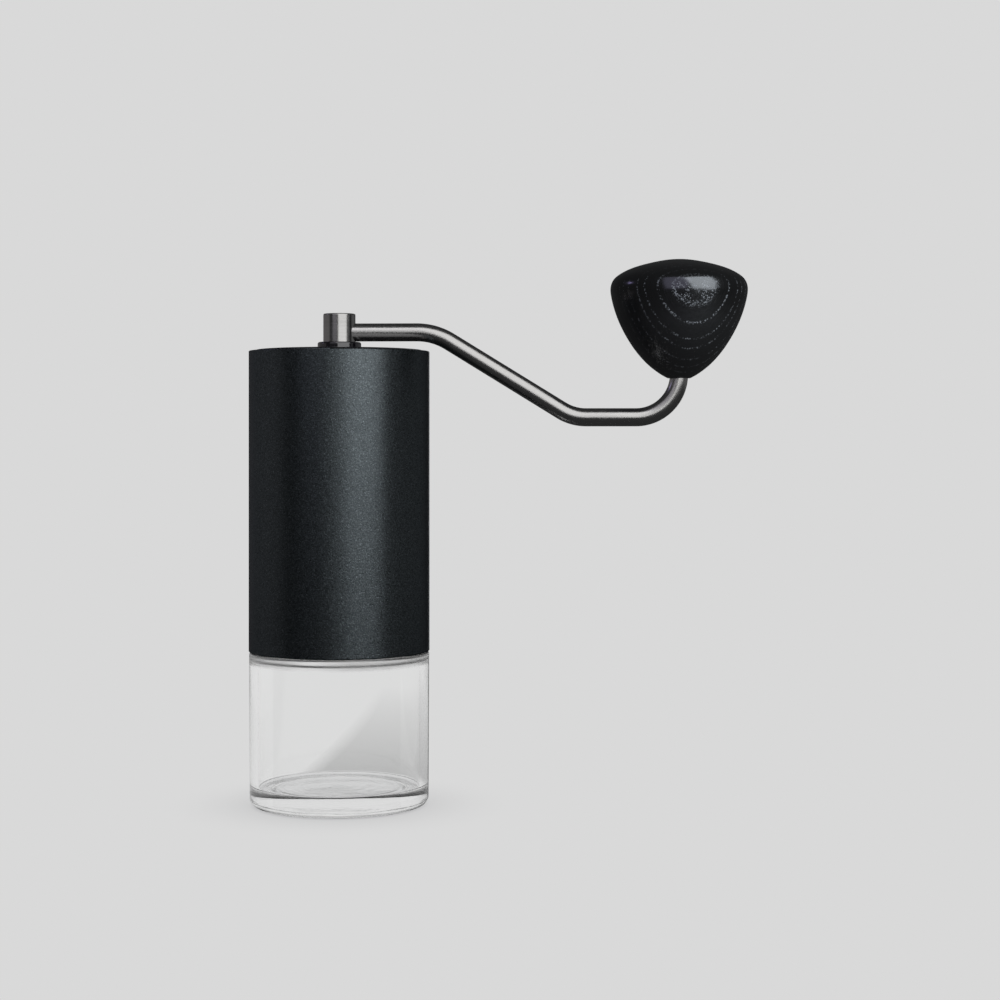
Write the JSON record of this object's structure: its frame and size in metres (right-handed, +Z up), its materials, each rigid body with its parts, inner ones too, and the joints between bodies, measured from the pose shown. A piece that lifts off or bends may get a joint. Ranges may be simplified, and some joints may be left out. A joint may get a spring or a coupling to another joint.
{
  "type": "hand crank coffee grinder",
  "caption": "Hand crank coffee grinder: straight metal barrel holding conical burrs over a screw-on glass jar, driven by a lift-off bent crank with a flared wooden knob.",
  "frame": {"origin": "centre of the ring that the jar stands on, on the barrel's axis", "axes": "+Z up along the barrel's axis; +X along the crank arm, from the axle to the knob; +Y completes the right-handed frame"},
  "size_m": [0.1749, 0.0634, 0.1913],
  "materials": {
    "barrel": "bead-blasted, black anodised",
    "jar_glass": "clear pressed glass, thick base",
    "gasket": "translucent silicone",
    "frame_plastic": "moulded, fine texture",
    "screw_steel": "stainless cap screw",
    "bearing_steel": "ground and polished",
    "cage_plastic": "moulded nylon",
    "axle_steel": "turned stainless",
    "spring_steel": "spring steel",
    "burr_steel": "hardened, ground steel",
    "click_steel": "stamped stainless",
    "dial_aluminium": "black anodised, knurled",
    "dial_brass": "turned",
    "lid_plastic": "gloss",
    "collar_plastic": "gloss",
    "seal_rubber": "matte",
    "crank_steel": "brushed stainless",
    "washer_plastic": "nylon",
    "knob_wood": "dark-stained laminated wood, satin lacquer",
    "bush_brass": "turned"
  },
  "bodies": {
    "housing": {"outer_shell": "barrel", "upper_frame": "frame_plastic", "lower_frame": "frame_plastic", "frame_screws": "screw_steel", "lower_bearing_outer_race": "bearing_steel", "lower_bearing_shields": "bearing_steel", "upper_bearing_outer_race": "bearing_steel", "upper_bearing_shields": "bearing_steel", "outer_burr": "burr_steel", "burr_keys": "axle_steel", "burr_retaining_ring": "spring_steel"},
    "axle": {"axle": "axle_steel", "lower_bearing_inner_race": "bearing_steel", "upper_bearing_inner_race": "bearing_steel", "upper_circlip": "spring_steel", "lower_circlip": "spring_steel", "spring_seat": "axle_steel", "burr_spring": "spring_steel"},
    "lower_ball_set": {"lower_bearing_balls": "bearing_steel", "lower_bearing_cage": "cage_plastic"},
    "upper_ball_set": {"upper_bearing_balls": "bearing_steel", "upper_bearing_cage": "cage_plastic"},
    "burr_carrier": {"inner_burr": "burr_steel", "click_plate": "click_steel"},
    "dial": {"adjustment_dial": "dial_aluminium", "dial_insert": "dial_brass", "click_balls": "bearing_steel", "click_springs": "spring_steel"},
    "crank": {"crank_hub": "crank_steel", "crank_arm": "crank_steel", "hub_clip": "spring_steel", "knob_clip": "spring_steel", "knob_washer": "washer_plastic"},
    "knob": {"knob": "knob_wood", "knob_bush": "bush_brass"},
    "lid": {"lid": "lid_plastic", "lid_collar": "collar_plastic", "lid_seal": "seal_rubber"},
    "jar_ring": {"jar_gasket": "gasket"},
    "jar": {"jar": "jar_glass"}
  },
  "joints": [
    {"name": "axle_spin", "type": "hinge", "parent": "housing", "child": "axle", "pos_m": [0, 0, 0.12], "axis": [0, 0, 1], "continuous": true},
    {"name": "lower_ball_set_spin", "type": "hinge", "parent": "housing", "child": "lower_ball_set", "pos_m": [0, 0, 0.0995], "axis": [0, 0, 1], "continuous": true},
    {"name": "upper_ball_set_spin", "type": "hinge", "parent": "housing", "child": "upper_ball_set", "pos_m": [0, 0, 0.1425], "axis": [0, 0, 1], "continuous": true},
    {"name": "crank_lift", "type": "slide", "parent": "axle", "child": "crank", "axis": [0, 0, 1], "range_m": [0, 0.03]},
    {"name": "lid_lift", "type": "slide", "parent": "housing", "child": "lid", "axis": [0, 0, 1], "range_m": [0, 0.03]},
    {"name": "knob_spin", "type": "hinge", "parent": "crank", "child": "knob", "pos_m": [0.1193, 0, 0.163], "axis": [0, 0, 1], "continuous": true},
    {"name": "dial_turn", "type": "hinge", "parent": "burr_carrier", "child": "dial", "pos_m": [0, 0, 0.066], "axis": [0, 0, -1], "range_deg": [-181, 541]},
    {"name": "adjust_slide", "type": "slide", "parent": "axle", "child": "burr_carrier", "axis": [0, 0, -1], "range_m": [-0.0005, 0.0015], "deforming": ["burr_spring"]},
    {"name": "jar_turn", "type": "hinge", "parent": "jar_ring", "child": "jar", "pos_m": [0, 0, 0.055], "axis": [0, 0, -1], "range_deg": [0, 811]},
    {"name": "jar_drop", "type": "slide", "parent": "housing", "child": "jar_ring", "axis": [0, 0, -1], "range_m": [0, 0.009]}
  ],
  "couplings": [
    {"joint": "lower_ball_set_spin", "follows": "axle_spin", "ratio": 0.40833},
    {"joint": "upper_ball_set_spin", "follows": "axle_spin", "ratio": 0.40833},
    {"joint": "lid_lift", "follows": "crank_lift", "ratio": 1},
    {"joint": "dial_turn", "follows": "adjust_slide", "rad_per_m": 6283.2},
    {"joint": "jar_turn", "follows": "jar_drop", "rad_per_m": 1570.8}
  ]
}
